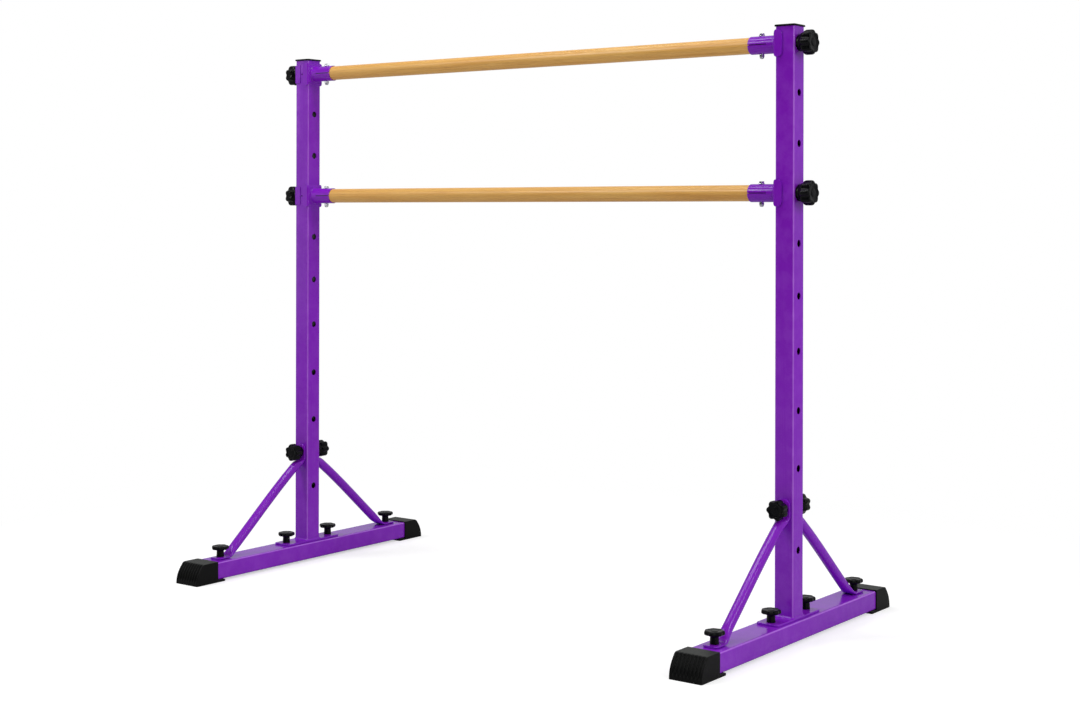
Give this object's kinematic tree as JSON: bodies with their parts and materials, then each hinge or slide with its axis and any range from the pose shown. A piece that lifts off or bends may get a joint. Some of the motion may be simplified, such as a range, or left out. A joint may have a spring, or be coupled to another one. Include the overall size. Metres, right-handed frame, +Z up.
{
  "type": "free-standing double ballet barre",
  "caption": "Free-standing double barre: round wooden rails between height-adjustable square posts, each on a braced floor foot with rubber end caps and hand knobs.",
  "frame": {"origin": "the middle of the barre on the floor, between the two stands", "axes": "+X along the rails towards the right stand, +Y along the feet towards the rear, +Z up"},
  "size_m": [1.3969, 0.7506, 1.1849],
  "materials": {
    "purple_coat": "semi-gloss powder coat",
    "clear_wood": "satin clear varnish",
    "black_plastic": "fine moulded sheen",
    "black_rubber": "matte, fine texture",
    "zinc_steel": "bright zinc plate"
  },
  "bodies": {
    "frame": {"left_post": "purple_coat", "left_post_cap": "black_plastic", "left_brace_stud_sleeve": "zinc_steel", "left_foot_tube": "purple_coat", "left_base_plate": "purple_coat", "left_foot_cap_front": "black_rubber", "left_brace_front": "purple_coat", "left_base_weld_nut_front": "zinc_steel", "left_brace_weld_nut_front": "zinc_steel", "left_foot_cap_rear": "black_rubber", "left_brace_rear": "purple_coat", "left_base_weld_nut_rear": "zinc_steel", "left_brace_weld_nut_rear": "zinc_steel", "left_upper_keeper_plate": "purple_coat", "left_lower_keeper_plate": "purple_coat", "right_post": "purple_coat", "right_post_cap": "black_plastic", "right_brace_stud_sleeve": "zinc_steel", "right_foot_tube": "purple_coat", "right_base_plate": "purple_coat", "right_foot_cap_front": "black_rubber", "right_brace_front": "purple_coat", "right_base_weld_nut_front": "zinc_steel", "right_brace_weld_nut_front": "zinc_steel", "right_foot_cap_rear": "black_rubber", "right_brace_rear": "purple_coat", "right_base_weld_nut_rear": "zinc_steel", "right_brace_weld_nut_rear": "zinc_steel"},
    "upper_rail_assembly": {"upper_rail": "clear_wood", "left_upper_bracket": "purple_coat", "left_upper_clamp_bolt": "zinc_steel", "left_upper_clamp_nut": "zinc_steel", "right_upper_bracket": "purple_coat", "right_upper_clamp_bolt": "zinc_steel", "right_upper_clamp_nut": "zinc_steel"},
    "lower_rail_assembly": {"lower_rail": "clear_wood", "left_lower_bracket": "purple_coat", "left_lower_clamp_bolt": "zinc_steel", "left_lower_clamp_nut": "zinc_steel", "right_lower_bracket": "purple_coat", "right_lower_clamp_bolt": "zinc_steel", "right_lower_clamp_nut": "zinc_steel"},
    "left_upper_lock": {"left_upper_lock_knob": "black_plastic"},
    "left_lower_lock": {"left_lower_lock_knob": "black_plastic"},
    "right_upper_lock": {"right_upper_lock_knob": "black_plastic"},
    "right_lower_lock": {"right_lower_lock_knob": "black_plastic"},
    "left_base_front_knob": {"left_base_knob_front": "black_plastic"},
    "left_brace_foot_front_knob": {"left_brace_foot_knob_front": "black_plastic"},
    "left_brace_post_front_knob": {"left_brace_post_knob_front": "black_plastic"},
    "left_base_rear_knob": {"left_base_knob_rear": "black_plastic"},
    "left_brace_foot_rear_knob": {"left_brace_foot_knob_rear": "black_plastic"},
    "left_brace_post_rear_knob": {"left_brace_post_knob_rear": "black_plastic"},
    "right_base_front_knob": {"right_base_knob_front": "black_plastic"},
    "right_brace_foot_front_knob": {"right_brace_foot_knob_front": "black_plastic"},
    "right_brace_post_front_knob": {"right_brace_post_knob_front": "black_plastic"},
    "right_base_rear_knob": {"right_base_knob_rear": "black_plastic"},
    "right_brace_foot_rear_knob": {"right_brace_foot_knob_rear": "black_plastic"},
    "right_brace_post_rear_knob": {"right_brace_post_knob_rear": "black_plastic"}
  },
  "joints": [
    {"name": "upper_rail_height", "type": "slide", "parent": "frame", "child": "upper_rail_assembly", "axis": [0, 0, 1], "range_m": [-0.193, 0]},
    {"name": "lower_rail_height", "type": "slide", "parent": "frame", "child": "lower_rail_assembly", "axis": [0, 0, 1], "range_m": [-0.529, 0.193]},
    {"name": "left_upper_lock_pull", "type": "slide", "parent": "frame", "child": "left_upper_lock", "axis": [-1, 0, 0], "range_m": [0, 0.055]},
    {"name": "left_lower_lock_pull", "type": "slide", "parent": "frame", "child": "left_lower_lock", "axis": [-1, 0, 0], "range_m": [0, 0.055]},
    {"name": "right_upper_lock_pull", "type": "slide", "parent": "frame", "child": "right_upper_lock", "axis": [1, 0, 0], "range_m": [0, 0.055]},
    {"name": "right_lower_lock_pull", "type": "slide", "parent": "frame", "child": "right_lower_lock", "axis": [1, 0, 0], "range_m": [0, 0.055]},
    {"name": "left_base_front_knob_turn", "type": "hinge", "parent": "frame", "child": "left_base_front_knob", "pos_m": [-0.645, -0.069, 0.0477], "axis": [0, 0, 1], "continuous": true},
    {"name": "left_brace_foot_front_knob_turn", "type": "hinge", "parent": "frame", "child": "left_brace_foot_front_knob", "pos_m": [-0.645, -0.276, 0.0479], "axis": [0, 0, 1], "continuous": true},
    {"name": "left_brace_post_front_knob_turn", "type": "hinge", "parent": "frame", "child": "left_brace_post_front_knob", "pos_m": [-0.645, -0.02385, 0.256], "axis": [0, -1, 0], "continuous": true},
    {"name": "left_base_rear_knob_turn", "type": "hinge", "parent": "frame", "child": "left_base_rear_knob", "pos_m": [-0.645, 0.069, 0.0477], "axis": [0, 0, 1], "continuous": true},
    {"name": "left_brace_foot_rear_knob_turn", "type": "hinge", "parent": "frame", "child": "left_brace_foot_rear_knob", "pos_m": [-0.645, 0.276, 0.0479], "axis": [0, 0, 1], "continuous": true},
    {"name": "left_brace_post_rear_knob_turn", "type": "hinge", "parent": "frame", "child": "left_brace_post_rear_knob", "pos_m": [-0.645, 0.02385, 0.256], "axis": [0, 1, 0], "continuous": true},
    {"name": "right_base_front_knob_turn", "type": "hinge", "parent": "frame", "child": "right_base_front_knob", "pos_m": [0.645, -0.069, 0.0477], "axis": [0, 0, 1], "continuous": true},
    {"name": "right_brace_foot_front_knob_turn", "type": "hinge", "parent": "frame", "child": "right_brace_foot_front_knob", "pos_m": [0.645, -0.276, 0.0479], "axis": [0, 0, 1], "continuous": true},
    {"name": "right_brace_post_front_knob_turn", "type": "hinge", "parent": "frame", "child": "right_brace_post_front_knob", "pos_m": [0.645, -0.02385, 0.256], "axis": [0, -1, 0], "continuous": true},
    {"name": "right_base_rear_knob_turn", "type": "hinge", "parent": "frame", "child": "right_base_rear_knob", "pos_m": [0.645, 0.069, 0.0477], "axis": [0, 0, 1], "continuous": true},
    {"name": "right_brace_foot_rear_knob_turn", "type": "hinge", "parent": "frame", "child": "right_brace_foot_rear_knob", "pos_m": [0.645, 0.276, 0.0479], "axis": [0, 0, 1], "continuous": true},
    {"name": "right_brace_post_rear_knob_turn", "type": "hinge", "parent": "frame", "child": "right_brace_post_rear_knob", "pos_m": [0.645, 0.02385, 0.256], "axis": [0, 1, 0], "continuous": true}
  ]
}
